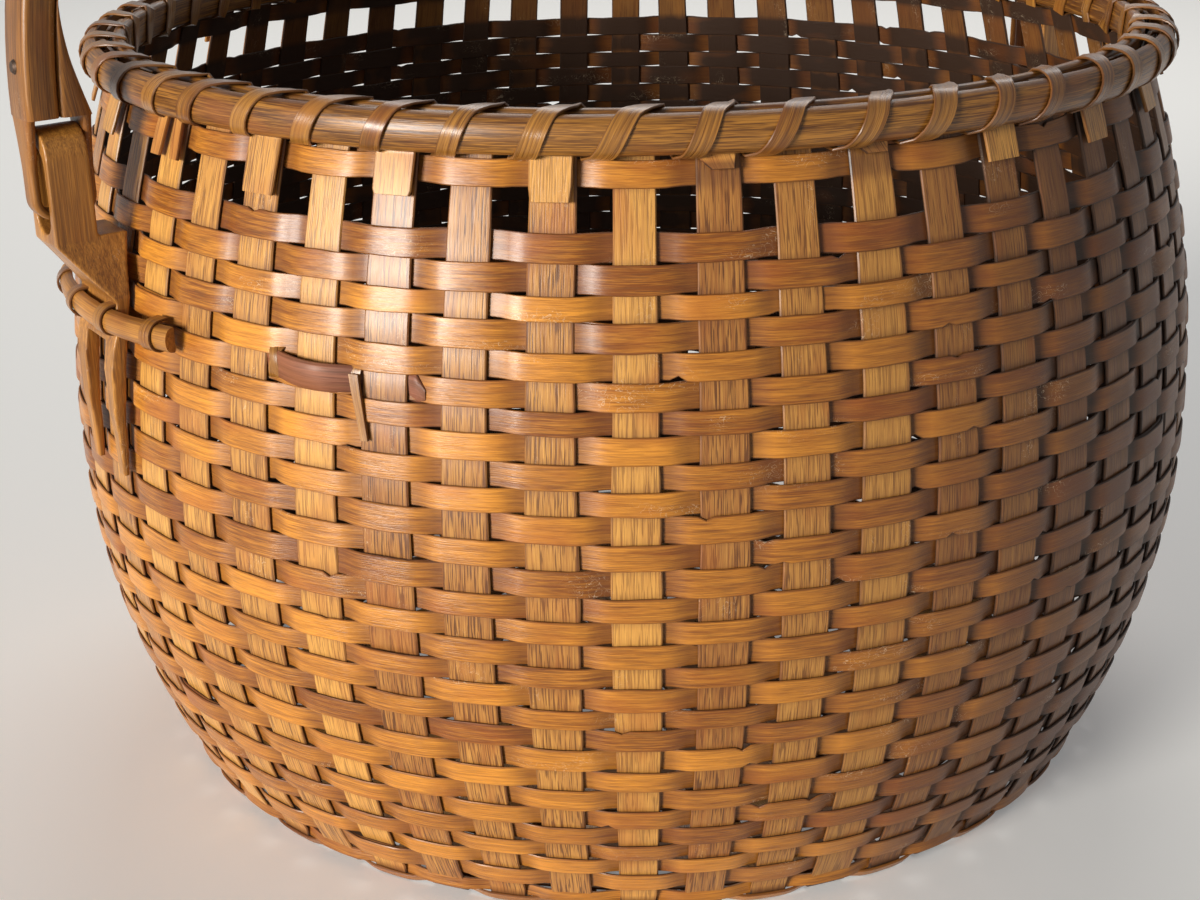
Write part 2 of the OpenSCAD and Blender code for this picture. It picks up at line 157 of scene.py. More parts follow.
def round_section(corner, points=3):
    """Rounded bar section; corner is the radius as shares (of width, of thickness)."""
    cw, ct = corner
    out = []
    for x, y, a0 in ((-1, 1, 180), (1, 1, 90), (1, -1, 0), (-1, -1, -90)):
        for k in range(points + 1):
            a = math.radians(a0 - 90 * k / points)
            out.append((x * (0.5 - cw) + cw * math.cos(a), y * (0.5 - ct) + ct * math.sin(a)))
    return np.array(out)


def half_round_section(points=10):
    """Flat back at b = -0.5, rounded front up to b = 0.5."""
    arc = [(-0.5 * math.cos(math.pi * k / points), -0.42 + 0.92 * math.sin(math.pi * k / points) ** 0.8)
           for k in range(points + 1)]
    return np.array([(-0.46, -0.5), *arc, (0.46, -0.5)])


def rim_of(section):
    """The points of a half-round section that lie along its two edges."""
    return (np.abs(section[:, 0]) > 0.42)[None, :]


SPLINT = splint_section()
# EDGE picks the points along a strip's edges, which are darkened with dirt and with painted shade
EDGE = (np.abs(SPLINT[:, 0]) > 0.455)[None, :]
INNER = (SPLINT[:, 1] < 0)[None, :]
EDGE_DIRT_AND_SHADE, INNER_SHADE = 0.34, 0.66  # shares of darkening: dirt and painted shade on the strips' edges, painted shade on the faces inside the basket


def lay(mesh, grain, tone, grime):
    """Gives each point of a mesh what the wood materials read."""
    for label, kind, key, values in (("grain", "FLOAT_VECTOR", "vector", grain),
                                     ("tone", "FLOAT", "value", tone),
                                     ("grime", "FLOAT", "value", grime)):
        layer = mesh.attributes.new(label, kind, "POINT")
        layer.data.foreach_set(key, np.asarray(values, np.float32).ravel())


class Strips:
    """Collects swept strips and makes one object of them, with its grain, tone, and its dirt and painted shade.
    """

    def __init__(self):
        self.verts, self.faces, self.grain, self.tone, self.grime = [], [], [], [], []
        self.count = 0

    def add(self, verts, faces, grain, tone, grime):
        self.verts.append(verts)
        self.faces += [[i + self.count for i in f] for f in faces]
        self.grain.append(grain)
        self.tone.append(np.broadcast_to(tone, len(verts)))
        self.grime.append(np.broadcast_to(grime, len(verts)))
        self.count += len(verts)

    def sweep(self, centre, side, up, width, thick, section=SPLINT, closed=False,
              tone=0.5, grime=0.2, seed=0, nicks=0):
        """Sweeps a section along the centre; nicks chips its edge inward, in mm at each point."""
        n, m = len(centre), len(section)
        width = np.broadcast_to(width, n).astype(float)
        thick = np.broadcast_to(thick, n).astype(float)
        across = section[None, :, 0] * width[:, None]
        chipped = np.abs(section[None, :, 0]) > 0.43
        nicks = np.broadcast_to(nicks, n)[:, None]
        across = across - nicks * (chipped & (section[None, :, 0] * nicks > 0))
        deep = section[None, :, 1] * thick[:, None]
        verts = centre[:, None] + side[:, None] * across[..., None] + up[:, None] * deep[..., None]
        ring = np.arange(m)
        faces = []
        for i in range(n if closed else n - 1):
            a, b = i * m, ((i + 1) % n) * m
            faces += [[a + k, b + k, b + (k + 1) % m, a + (k + 1) % m] for k in ring]
        if not closed:
            faces += [list(range(m)), [(n - 1) * m + k for k in range(m - 1, -1, -1)]]
        run = np.concatenate([[0], np.cumsum(np.linalg.norm(np.diff(centre, axis=0), axis=1))])
        local = np.random.default_rng(seed)
        shift = local.uniform(0, 900, 3)
        grain = np.stack(np.broadcast_arrays(run[:, None], across, deep), -1) + shift
        tone = np.broadcast_to(np.asarray(tone, float).reshape(-1, 1), (n, m))
        grime = np.asarray(grime, float)
        grime = np.broadcast_to(grime if grime.ndim == 2 else grime.reshape(-1, 1), (n, m))
        self.add(verts.reshape(-1, 3), faces, grain.reshape(-1, 3), tone.ravel(), grime.ravel())

    def make(self, name, material, body, slot, *nodes, smooth=35):
        mesh = bpy.data.meshes.new(name)
        mesh.from_pydata((np.concatenate(self.verts) * MM).tolist(), [], self.faces)
        lay(mesh, np.concatenate(self.grain) * MM, np.concatenate(self.tone), np.concatenate(self.grime))
        tidy = bmesh.new()
        tidy.from_mesh(mesh)
        bmesh.ops.recalc_face_normals(tidy, faces=tidy.faces)
        tidy.to_mesh(mesh)
        tidy.free()
        mesh.shade_smooth()
        mesh.set_sharp_from_angle(angle=math.radians(smooth))
        piece = bpy.data.objects.new(name, mesh)
        bpy.context.scene.collection.objects.link(piece)
        mesh.materials.append(material)
        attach(piece, body)
        if nodes:
            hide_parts(*nodes)
        return piece


# ---- materials ----

# the dark colour that dirt and painted shade mix into a surface
SHADE_AND_DIRT = (0.035, 0.014, 0.005)
SCUFF = (0.78, 0.62, 0.42)
COAT_ROUGHNESS, SPECULAR = 0.25, 0.38
RELIEF = 0.0006  # metres


def wood(name, dark, light, along=60.0, across=900.0, lines=0.5, line_colour=(0.10, 0.045, 0.015),
         rough=0.34, varnish=(0.30, 0.09, 0.015), bump=0.3, coat=0.4, contrast=1.0, scuffs=0.0):
    """Varnished wood that reads each piece's grain, tone, and its dirt and painted shade.

    along and across are how many changes of the grain lie in a metre each way, lines is the
    strength of the dark pores, which are fainter where the tone is light, and scuffs is that of
    the fine pale scratches.
    """
    material = bpy.data.materials.new(name)
    material.use_nodes = True
    nodes, links = material.node_tree.nodes, material.node_tree.links
    shader = nodes["Principled BSDF"]

    def node(kind, **inputs):
        made = nodes.new(kind)
        for key, value in inputs.items():
            made.inputs[key.replace("_", " ")].default_value = value
        return made

    def attribute(label, output):
        made = nodes.new("ShaderNodeAttribute")
        made.attribute_name = label
        return made.outputs[output]

    def math_node(operation, a, b, clamp=True):
        made = nodes.new("ShaderNodeMath")
        made.operation, made.use_clamp = operation, clamp
        for socket, value in zip(made.inputs, (a, b)):
            if isinstance(value, (int, float)):
                socket.default_value = value
            else:
                links.new(value, socket)
        return made.outputs[0]

    def swing(value, strength):
        """Turns noise round a half into one round zero."""
        return math_node("MULTIPLY", math_node("SUBTRACT", value, 0.5, False), strength, False)

    def mix(factor, a, b):
        made = nodes.new("ShaderNodeMix")
        made.data_type = "RGBA"
        for socket, value in ((made.inputs[0], factor), (made.inputs[6], a), (made.inputs[7], b)):
            if isinstance(value, tuple):
                socket.default_value = (*value, 1)
            elif isinstance(value, (int, float)):
                socket.default_value = value
            else:
                links.new(value, socket)
        return made.outputs[2]

    def stretched(along, across, detail=3.0, distortion=0.0):
        """Noise drawn out along the grain."""
        scale = nodes.new("ShaderNodeMapping")
        scale.inputs["Scale"].default_value = (along, across, across)
        links.new(attribute("grain", "Vector"), scale.inputs["Vector"])
        made = node("ShaderNodeTexNoise", Scale=1.0, Detail=detail, Roughness=0.6,
                    Distortion=distortion)
        links.new(scale.outputs[0], made.inputs["Vector"])
        return made.outputs["Fac"]

    def ramp(value, low, high):
        made = nodes.new("ShaderNodeMapRange")
        made.interpolation_type = "SMOOTHSTEP"
        made.inputs["From Min"].default_value, made.inputs["From Max"].default_value = low, high
        links.new(value, made.inputs["Value"])
        return made.outputs["Result"]

    fibre = stretched(along, across * 2.2, 2.0)
    streak = stretched(along * 0.25, across * 0.55, 3.0, 0.3)
    patch = stretched(28, 60, 2.0)
    pores = stretched(along * 0.8, across * 1.5, 1.0)
    tone = attribute("tone", "Fac")
    grime = attribute("grime", "Fac")

    blend = math_node("ADD", tone, swing(streak, 1.9 * contrast))
    blend = math_node("ADD", blend, swing(fibre, 1.5 * contrast))
    colour = mix(blend, dark, light)
    share = math_node("SUBTRACT", 1.3, math_node("MULTIPLY", tone, 0.9))
    pored = math_node("MULTIPLY", ramp(pores, 0.53, 0.60), math_node("MULTIPLY", share, lines))
    colour = mix(pored, colour, line_colour)
    pooled = math_node("MULTIPLY", ramp(patch, 0.50, 0.74), 0.45)
    # varnish pools in patches, and dirt and painted shade also turn the colour towards the varnish's deeper red
    colour = mix(math_node("ADD", pooled, math_node("MULTIPLY", grime, 0.7)), colour, varnish)
    # dirt and painted shade darken the colour, unevenly from patch to patch
    uneven = math_node("ADD", math_node("MULTIPLY", ramp(patch, 0.25, 0.8), 0.5), 0.76)
    shade_and_soil = math_node("MULTIPLY", grime, uneven)
    colour = mix(shade_and_soil, colour, SHADE_AND_DIRT)
    if scuffs:
        # the fine lines where a noise passes a half are scratches
        ridge = math_node("ABSOLUTE", math_node("SUBTRACT", stretched(300, 420, 1.0, 1.2), 0.5, False), 0)
        scuffed = math_node("MULTIPLY", ramp(ridge, 0.014, 0.004), ramp(stretched(26, 80, 1.0), 0.60, 0.70))
        colour = mix(math_node("MULTIPLY", scuffed, scuffs), colour, SCUFF)
    links.new(colour, shader.inputs["Base Color"])

    gloss = math_node("ADD", math_node("MULTIPLY", patch, 0.16), rough - 0.18)
    gloss = math_node("ADD", gloss, math_node("MULTIPLY", fibre, 0.22))
    gloss = math_node("ADD", gloss, math_node("MULTIPLY", shade_and_soil, 0.35))
    links.new(gloss, shader.inputs["Roughness"])
    shader.inputs["Coat Weight"].default_value = coat
    shader.inputs["Coat Roughness"].default_value = COAT_ROUGHNESS
    shader.inputs["Specular IOR Level"].default_value = SPECULAR

    sunk = math_node("MULTIPLY", pores, -0.5 * lines, False)
    height = math_node("ADD", math_node("MULTIPLY", fibre, 0.6), sunk, False)
    relief = node("ShaderNodeBump", Strength=bump, Distance=RELIEF)
    links.new(height, relief.inputs["Height"])
    links.new(relief.outputs["Normal"], shader.inputs["Normal"])
    return material


WEAVER = wood("weaver_splint", (0.20, 0.057, 0.007), (0.76, 0.31, 0.036), along=130, across=1500,
              lines=0.35, rough=0.33, contrast=0.75, coat=0.28, scuffs=0.4,
              varnish=(0.34, 0.085, 0.012), bump=0.5)
UPRIGHT = wood("upright_splint", (0.29, 0.110, 0.026), (0.71, 0.36, 0.080), along=100, across=1400,
               lines=0.9, line_colour=(0.085, 0.028, 0.008), rough=0.38, contrast=0.7, coat=0.3,
               scuffs=0.3, varnish=(0.42, 0.13, 0.022))
BASE = wood("base_splint", (0.18, 0.075, 0.02), (0.50, 0.26, 0.07), rough=0.5, coat=0.05)
HOOP = wood("hoop_wood", (0.085, 0.028, 0.005), (0.42, 0.185, 0.030), along=100, across=1700,
            lines=0.75, line_colour=(0.055, 0.019, 0.005), contrast=1.5, coat=0.28)
LASH = wood("lash_splint", (0.14, 0.048, 0.008), (0.46, 0.21, 0.038), along=90, across=1500,
            lines=0.4, rough=0.28)
CARVED = wood("carved_wood", (0.20, 0.072, 0.013), (0.74, 0.34, 0.062), across=1300, lines=0.35,
              contrast=0.7, coat=0.28, scuffs=0.3)
BENT = wood("handle_wood", (0.11, 0.038, 0.008), (0.44, 0.185, 0.034), across=1300, rough=0.36,
            contrast=0.95, coat=0.16, scuffs=0.3)
STAINED = wood("stained_splint", (0.12, 0.036, 0.022), (0.36, 0.14, 0.080), along=90, across=1300,
               lines=0.4, rough=0.50, coat=0.1)


def iron():
    material = bpy.data.materials.new("dark_iron")
    material.use_nodes = True
    nodes, links = material.node_tree.nodes, material.node_tree.links
    shader = nodes["Principled BSDF"]
    shader.inputs["Metallic"].default_value = 0.8
    shader.inputs["Roughness"].default_value = 0.5
    speck = nodes.new("ShaderNodeTexNoise")
    speck.inputs["Scale"].default_value = 1800
    ramp = nodes.new("ShaderNodeValToRGB")
    ramp.color_ramp.elements[0].color = (0.035, 0.027, 0.022, 1)
    ramp.color_ramp.elements[1].color = (0.16, 0.10, 0.07, 1)
    place = nodes.new("ShaderNodeTexCoord")
    links.new(place.outputs["Object"], speck.inputs["Vector"])
    links.new(speck.outputs["Fac"], ramp.inputs["Fac"])
    links.new(ramp.outputs["Color"], shader.inputs["Base Color"])
    return material


# ---- weavers ----

# painted shade: the side of the basket that the key light doesn't reach is darkened
DARK_SIDE, DARK_SPREAD, SIDE_SHADE = math.radians(290), 0.55, 0.66


def shaded_side(angle):
    """Painted shade: how much darker the basket is round the side that the key light doesn't reach."""
    away = np.angle(np.exp(1j * (np.asarray(angle) - DARK_SIDE)))
    return SIDE_SHADE * np.exp(-((away / DARK_SPREAD) ** 2))


def middle_z(node):
    low, high = cad_box(node)
    return float(low[2] + high[2]) / 2


ROW_Z = [middle_z(f"weaver_{j:02d}") for j in range(1, ROWS + 1)]
TOP_ROW_Z, RIM_ROW_Z = middle_z("top_weaver"), middle_z("rim_weaver")
RING_SAMPLES = 10  # for each upright
ROW_LAP = 2  # uprights over which the two ends of a row lie on each other
NICKS = 9  # chipped places in the edges of a row
ROW_SPREAD, TONE_SPREAD = 0.11, 0.25

# the rows lie close on one another, some of them wider than others
row_pitch = (ROW_Z[0] - ROW_Z[-1]) / (ROWS - 1)
row_share = 1 + rng.uniform(-ROW_SPREAD, ROW_SPREAD, ROWS)
row_height = row_share * row_pitch * ROWS / row_share.sum()
row_top = ROW_Z[0] + row_pitch / 2 - np.concatenate([[0], np.cumsum(row_height)[:-1]])
ROW_Z = list(row_top - row_height / 2)


def in_and_out(steps, side):
    """1 where a weaver is outside an upright, -1 where it is inside; steps counts uprights."""
    return side * np.tanh(WAVE_SHARPNESS * np.cos(math.pi * steps)) / math.tanh(WAVE_SHARPNESS)


def weaver(strips, z_mid, side, seed, width=WEAVER_W, tone=0.5, sway=0.35):
    """One row: a splint once round, its ends lapped and hidden behind uprights."""
    local = np.random.default_rng(seed)
    start = 2 * local.integers(0, UPRIGHTS // 2) + (1 if side > 0 else 0)
    steps = np.linspace(start, start + UPRIGHTS + ROW_LAP, (UPRIGHTS + ROW_LAP) * RING_SAMPLES + 1)
    angle = steps * STEP
    turn = angle / TAU
    wave = in_and_out(steps, side)
    second = np.clip((steps - start - UPRIGHTS + 0.4) / 0.4, 0, 1)
    z = z_mid + sway * wander(turn, 1, 5) + 0.10 * wander(turn, seed + 2, 20)
    lean = wall_slope(z_mid)
    twist = 0.02 * wander(turn, seed + 3, 13)
    r = wall_r(z_mid) + (z - z_mid) * lean + REACH * wave + second * WEAVER_T * 0.95
    out, _ = around(angle)
    tilt = lean + twist
    side_dir = unit(out * tilt[:, None] + UP)
    face_dir = unit(out - UP * tilt[:, None])
    centre = out * r[:, None] + UP * z[:, None]
    wide = width * (1 + 0.035 * wander(turn, seed + 4, 9) + 0.018 * wander(turn, seed + 8, 60))
    # darker where the row passes behind an upright and along its edges, with dirt and painted shade; painted
    # shade on its inner face and on the side the key light doesn't reach
    hidden = np.clip(0.5 - 0.75 * wave, 0, 1)
    grime = 0.06 + 0.36 * hidden[:, None] + EDGE_DIRT_AND_SHADE * EDGE + INNER_SHADE * INNER
    grime = grime + shaded_side(angle)[:, None]
    tones = tone + 0.20 * wander(turn, seed + 5, 3) + 0.10 * wander(turn, seed + 6, 17)
    nicks = np.zeros(len(steps))
    depths = local.uniform(0.5, 1.5, NICKS) * local.choice([-1, 1], NICKS)
    nicks[local.integers(0, len(steps), NICKS)] = depths
    strips.sweep(centre, side_dir, face_dir, wide, WEAVER_T, tone=tones, grime=grime, seed=seed, nicks=nicks)


def make_row(name, node, *line, **more):
    """One weaver as a piece of its own, in place of its node."""
    row = Strips()
    weaver(row, *line, **more)
    row.make(name, WEAVER, "basket", "weavers", node)


for j, z_row in enumerate(ROW_Z, 1):
    make_row(f"splint_row_{j:02d}", f"weaver_{j:02d}", z_row, 1 if j % 2 == 0 else -1, 100 + 10 * j,
             width=row_height[j - 1], tone=0.5 + rng.uniform(-TONE_SPREAD, TONE_SPREAD))
make_row("splint_row_top", "top_weaver", TOP_ROW_Z, 1, 60, tone=0.52, sway=0.2)
make_row("splint_row_rim", "rim_weaver", RIM_ROW_Z, -1, 70, width=WEAVER_W - 1, sway=0.1)


def foot_row(strips, turn, side, width, seed):
    """A narrow row on the bend of the uprights, turn degrees round it from the base."""
    steps = np.linspace(0, UPRIGHTS, UPRIGHTS * RING_SAMPLES, endpoint=False)
    out, _ = around(steps * STEP)
    share = steps / UPRIGHTS
    a = math.radians(turn) + 0.03 * wander(share, seed, 8)
    arm = BEND_R + REACH * 0.8 * in_and_out(steps, side)
    centre = out * (BEND_START_R + arm * np.sin(a))[:, None] + UP * (BEND_Z - arm * np.cos(a))[:, None]
    face_dir = out * np.sin(a)[:, None] - UP * np.cos(a)[:, None]
    side_dir = out * np.cos(a)[:, None] + UP * np.sin(a)[:, None]
    strips.sweep(centre, side_dir, face_dir, width * (1 + 0.06 * wander(share, seed + 1, 9)), WEAVER_T,
                 closed=True, tone=0.45 + 0.2 * wander(share, seed + 2, 3),
                 grime=0.22 + EDGE_DIRT_AND_SHADE * EDGE, seed=seed)


# ---- uprights ----

BEND_START_R = float(wall_r(BEND_Z)) - BEND_R
BASE_RINGS = int((BEND_START_R - 5 - RING_START_R) // BASE_PITCH) + 1
SHORT_RING = math.ceil((UPRIGHTS * UPRIGHT_BASE_W * 0.86 / TAU - RING_START_R) / BASE_PITCH)
RING_R = RING_START_R + BASE_PITCH * np.arange(BASE_RINGS)
SHORT_R = float(RING_R[SHORT_RING]) - BASE_W / 2 - 1
FOLD_Z = RIM_Z + 1 + (WEAVER_W - 1) + FIT + UPRIGHT_T / 2
TAB_REACH = UPRIGHT_T + 2 * FIT + WEAVER_T
BASE_LIFT = 1.22  # an upright's middle from a ring's middle where they cross
UPRIGHT_LEAN, UPRIGHT_WANDER = 0.0028, 0.0012  # radians round the basket


def base_side(i, j):
    """1 where upright i passes over ring j of the base, -1 where it passes under."""
    return 1 if ((i // 2 + j) if j < SHORT_RING else (i + j)) % 2 == 0 else -1


def upright_width(z):
    """Width of an upright at a height: widest at the belly, as the solids are."""
    upper = UPRIGHT_W + (UPRIGHT_TOP_W - UPRIGHT_W) * (z - BELLY_Z) / (RIM_Z - BELLY_Z)
    lower = UPRIGHT_BASE_W + (UPRIGHT_W - UPRIGHT_BASE_W) * z / BELLY_Z
    return np.where(z > BELLY_Z, upper, np.minimum(lower, UPRIGHT_W))


def upright_line(i, start_r):
    """Radius and height from the base, round the bend and up to the rim."""
    r = np.arange(start_r, BEND_START_R, 2.5)
    sides = np.array([base_side(i, j) for j in range(BASE_RINGS)], float)
    place = np.clip((r - RING_START_R) / BASE_PITCH, 0, BASE_RINGS - 1)
    low = np.minimum(place.astype(int), BASE_RINGS - 2)
    share = np.clip((place - low - 0.22) / 0.56, 0, 1)
    share = share * share * (3 - 2 * share)
    lift = sides[low] * (1 - share) + sides[low + 1] * share
    if start_r < RING_START_R:
        lift *= np.clip((r - start_r) / (RING_START_R - start_r), 0, 1)
    base = np.stack([r, BASE_MID_Z + BASE_LIFT * lift], -1)
    keep = r < BEND_START_R - 3
    bend = [[BEND_START_R + BEND_R * math.sin(a), UPRIGHT_T / 2 + 0.1 + BEND_R * (1 - math.cos(a))]
            for a in np.radians(np.arange(0, 75, 14))]
    z = np.arange(BEND_Z + 1, RIM_Z, 2.2)
    shift = np.zeros_like(z)
    for j, z_row in enumerate(ROW_Z, 1):
        out = 1 if (i + j) % 2 == 0 else -1
        shift -= 0.14 * out * np.exp(-((z - z_row) / 3.4) ** 2)
    wall = np.stack([wall_r(z) + shift, z], -1)
    return np.concatenate([base[keep], bend, wall])


def place_strip(strips, line, angle, width, **more):
    """Sweeps a strip along (radius, height) points in the upright plane at an angle."""
    out, along = around(angle)
    if out.ndim == 1:
        out, along = np.broadcast_to(out, (len(line), 3)), np.broadcast_to(along, (len(line), 3))
    centre = out * line[:, :1] + UP * line[:, 1:]
    way = unit(np.gradient(line, axis=0))
    face = unit(out * way[:, 1:] - UP * way[:, :1])
    strips.sweep(centre, along, face, width, UPRIGHT_T, **more)


def upright(strips, i, start_r, start_w, top):
    """One upright from the base to the rim, then along the extra points of top."""
    local = np.random.default_rng(4000 + i)
    line = np.concatenate([upright_line(i, start_r), top])
    on_base = line[:, 1] < BEND_Z
    share = np.clip((line[:, 0] - start_r) / (BEND_START_R - start_r), 0, 1)
    width = np.where(on_base, start_w + (UPRIGHT_BASE_W - start_w) * share, upright_width(line[:, 1]))
    run = np.arange(len(line)) / 110
    width = width * (1 + 0.03 * wander(run, 4100 + i, 1.6)) * local.uniform(0.93, 1.07)
    lean = np.where(on_base, 0, np.clip((line[:, 1] - 40) / 220, 0, 1)) * local.normal(0, UPRIGHT_LEAN)
    angle = i * STEP + lean + UPRIGHT_WANDER * wander(run, 4200 + i, 1.0) * ~on_base
    # covered is where rows lie over the upright; it is darkened there with dirt and painted shade
    covered = np.zeros(len(line))
    for j, z_row in enumerate(ROW_Z + [TOP_ROW_Z], 1):
        if (i + j) % 2 == 0 or z_row == TOP_ROW_Z:
            covered = np.maximum(covered, np.exp(-((line[:, 1] - z_row) / 4.6) ** 4))
    # painted shade on the faces inside the basket, and on the side of the basket the key light doesn't reach
    inner = np.where(on_base[:, None], ~INNER, INNER)
    grime = 0.04 + 0.42 * covered[:, None] + EDGE_DIRT_AND_SHADE * EDGE + INNER_SHADE * inner + shaded_side(i * STEP)
    tone = local.uniform(0.15, 0.90) + 0.10 * wander(run, 4300 + i, 2)
    place_strip(strips, line, angle, width, tone=tone, grime=grime, seed=4400 + i)


plain = Strips()
for i in range(0, UPRIGHTS, 2):
    upright(plain, i, HUB_R - 2, HUB_STRIP_W, [[NECK_R, z] for z in (RIM_Z + 3, RIM_Z + 7, BASKET_H - 1)])
plain.make("upright_splints_plain", UPRIGHT, "basket", "uprights", "uprights_plain")

# two narrow rows turn in under the basket with the uprights: place, side, width and seed of each
FOOT_ROWS = ((88, -1, 4.6, 80), (52, 1, 4.2, 90))
foot = Strips()
for foot_line in FOOT_ROWS:
    foot_row(foot, *foot_line)
foot.make("splint_rows_foot", WEAVER, "basket", "weavers")

# Tab ends as the photo shows them, from the left ear across the front: the length below the fold
# and the kind of end, by upright. The others are drawn at random.
TABS = {27: (22.5, "split"), 29: (27.0, "square"), 31: (22.0, "square"), 33: (22.5, "slant"),
        35: (14.5, "torn"), 37: (13.0, "torn")}
# the share of a tab that its end takes up
ENDS = {"square": 0.06, "slant": 0.22, "torn": 0.55, "split": 0.12}


def tab(strips, i, length, end):
    """The folded end that hangs outside the top row."""
    local = np.random.default_rng(5000 + i)
    turn = np.radians(np.arange(0, 181, 30))
    mid = NECK_R + TAB_REACH / 2
    fold = np.stack([mid - TAB_REACH / 2 * np.cos(turn), FOLD_Z - 1.0 + 1.0 * np.sin(turn)], -1)
    z = np.arange(FOLD_Z - 2.2, FOLD_Z - length, -1.4)
    out = TAB_REACH + 0.10 + 0.02 * (RIM_Z - z).clip(0) * local.uniform(0.2, 2.5)
    hang = np.stack([wall_r(z) + out, z], -1)
    line = np.concatenate([[[NECK_R, FOLD_Z - 2.5]], fold, hang])
    left = (line[:, 1] - (FOLD_Z - length)) / length
    left[: len(fold) + 1] = 1
    parts = [(0.0, 1.0)] if end != "split" else [(-0.27, 0.46), (0.31, 0.36)]
    for off, share in parts:
        width = UPRIGHT_TOP_W * 1.02 * share * (1 - 0.05 * (1 - left))
        ragged = ENDS[end]
        tip = np.clip(1 - left / max(ragged, 0.02), 0, 1)
        width = width * (1 - 0.55 * tip**2 * (end == "torn")) * (1 - 0.10 * tip)
        drift = UPRIGHT_TOP_W * off * (1 + 0.5 * (1 - left) * (end == "split"))
        drift = drift + UPRIGHT_TOP_W * 0.22 * tip**2 * (end == "torn")
        angle = i * STEP + drift / (NECK_R + TAB_REACH)
        # its edges are darkened with dirt and painted shade, and a torn end is darker
        grime = 0.05 + 0.40 * EDGE + 0.5 * (tip[:, None] > 0.6) * (end == "torn")
        place_strip(strips, line, angle, width, tone=local.uniform(0.45, 0.9), grime=grime, seed=5100 + i)


folded = Strips()
for i in range(1, UPRIGHTS, 2):
    upright(folded, i, SHORT_R, UPRIGHT_BASE_W * 0.72, [[NECK_R, z] for z in (RIM_Z + 3, RIM_Z + 6)])
    chance = np.random.default_rng(5200 + i)
    length, end = TABS.get(i, (chance.uniform(13, 25), chance.choice(["square", "slant", "torn", "square"])))
    tab(folded, i, length, end)
folded.make("upright_splints_folded", UPRIGHT, "basket", "uprights", "uprights_folded")


# ---- base ----

BASE_SAMPLES = 180
rings = Strips()
for j, r in enumerate(RING_R):
    angle = np.arange(BASE_SAMPLES) * TAU / BASE_SAMPLES
    out, along = around(angle)
    wobble = r + 0.5 * wander(angle / TAU, 600 + j, 4)
    width = (BASE_W - 2 * FIT) * (1 + 0.05 * wander(angle / TAU, 640 + j, 6))
    rings.sweep(out * wobble[:, None] + UP * BASE_MID_Z, out, np.broadcast_to(UP, out.shape), width,
                WEAVER_T, closed=True, tone=0.45 + 0.15 * wander(angle / TAU, 680 + j, 3),
                grime=0.40 + 0.3 * EDGE, seed=620 + j)
rings.make("base_splint_rings", BASE, "basket", "base", "base_weavers")

hub = Strips()
crossings = UPRIGHTS // 4
for k in range(crossings):
    angle = 2 * k * STEP
    x = np.linspace(-HUB_R + FIT, HUB_R - FIT, 30)
    out, along = around(angle)
    stack = (k - (crossings - 1) / 2) * 0.16
    hump = np.clip((HUB_R - np.abs(x)) / 14, 0, 1)
    centre = out * x[:, None] + UP * (BASE_MID_Z + stack * hump)[:, None]
    hub.sweep(centre, np.broadcast_to(along, centre.shape), np.broadcast_to(UP, centre.shape),
              HUB_STRIP_W, UPRIGHT_T, tone=0.5 + 0.25 * math.sin(k * 2.3), grime=0.35 + 0.3 * EDGE,
              seed=700 + k)
hub.make("base_hub_splints", BASE, "basket", "base", "base_hub")


# ---- rim ----

RIM_SAMPLES = UPRIGHTS * 8
turns = np.arange(RIM_SAMPLES) / RIM_SAMPLES
rim_out, _ = around(turns * TAU)
level = np.broadcast_to(UP, rim_out.shape)

hoop = Strips()
section = half_round_section()
outer_mid = RIM_R - OUTER_T / 2 + 0.1 + 0.18 * wander(turns, 800, 7)
hoop_z = RIM_Z + HOOP_H / 2 + 0.2 * wander(turns, 801, 5)
# its two edges are darkened with dirt and painted shade
hoop.sweep(rim_out * outer_mid[:, None] + UP * hoop_z[:, None], level, rim_out,
           HOOP_H * (1 + 0.02 * wander(turns, 802, 11)), OUTER_T, section=section, closed=True,
           tone=0.52 + 0.14 * wander(turns, 803, 4), grime=0.08 + 0.3 * rim_of(section), seed=804)
hoop.make("rim_hoop_outer", HOOP, "basket", "hoops", "outer_hoop")

hoop = Strips()
section = round_section((0.14, 0.36))
inner_mid = NECK_R - UPRIGHT_T / 2 - WEAVER_T - 2 * FIT - INNER_T / 2
hoop.sweep(rim_out * (inner_mid + 0.15 * wander(turns, 810, 6))[:, None] + UP * (RIM_Z + HOOP_H / 2),
           level, rim_out, HOOP_H, INNER_T, section=section, closed=True,
           tone=0.42 + 0.12 * wander(turns, 811, 4), grime=0.15, seed=812)
hoop.make("rim_hoop_inner", HOOP, "basket", "hoops", "inner_hoop")

LASH_W, LASH_T = 6.3, 0.8
LASH_SLANT = (0.14, 0.51)  # shares of the step at the foot and the top of the outer hoop


def lash_line():
    """Closed profile round both hoops: radius, height and share of the step to the next space."""
    off = FIT + LASH_T / 2
    inner_r = inner_mid - INNER_T / 2
    crown_r = arc_r(HOOP_H / 2, OUTER_T)
    reach = math.asin(HOOP_H / 2 / crown_r)
    points = [(inner_r - off + 0.5, RIM_Z - off + 0.25, 0.0), (inner_r + 2.5, RIM_Z - off - 0.2, 0.02),
              (RIM_R - OUTER_T - 1, RIM_Z - off - 0.45, 0.05)]
    for k in range(9):
        a = reach * (k / 4 - 1) * 0.93
        points.append((RIM_R - crown_r + (crown_r + off + 0.12) * math.cos(a),
                       RIM_Z + HOOP_H / 2 + (crown_r + off + 0.12) * math.sin(a),
                       LASH_SLANT[0] + (LASH_SLANT[1] - LASH_SLANT[0]) * k / 8))
    points += [(RIM_R - OUTER_T - 1, BASKET_H + off + 0.25, 0.57), (NECK_R, BASKET_H + off + 0.4, 0.66),
               (inner_r + 2.5, BASKET_H + off, 0.75), (inner_r - off + 0.6, BASKET_H - 0.2, 0.79),
               (inner_r - off, BASKET_H - 3.5, 0.84), (inner_r - off, RIM_Z + 3.5, 0.95)]
    return np.array(points)


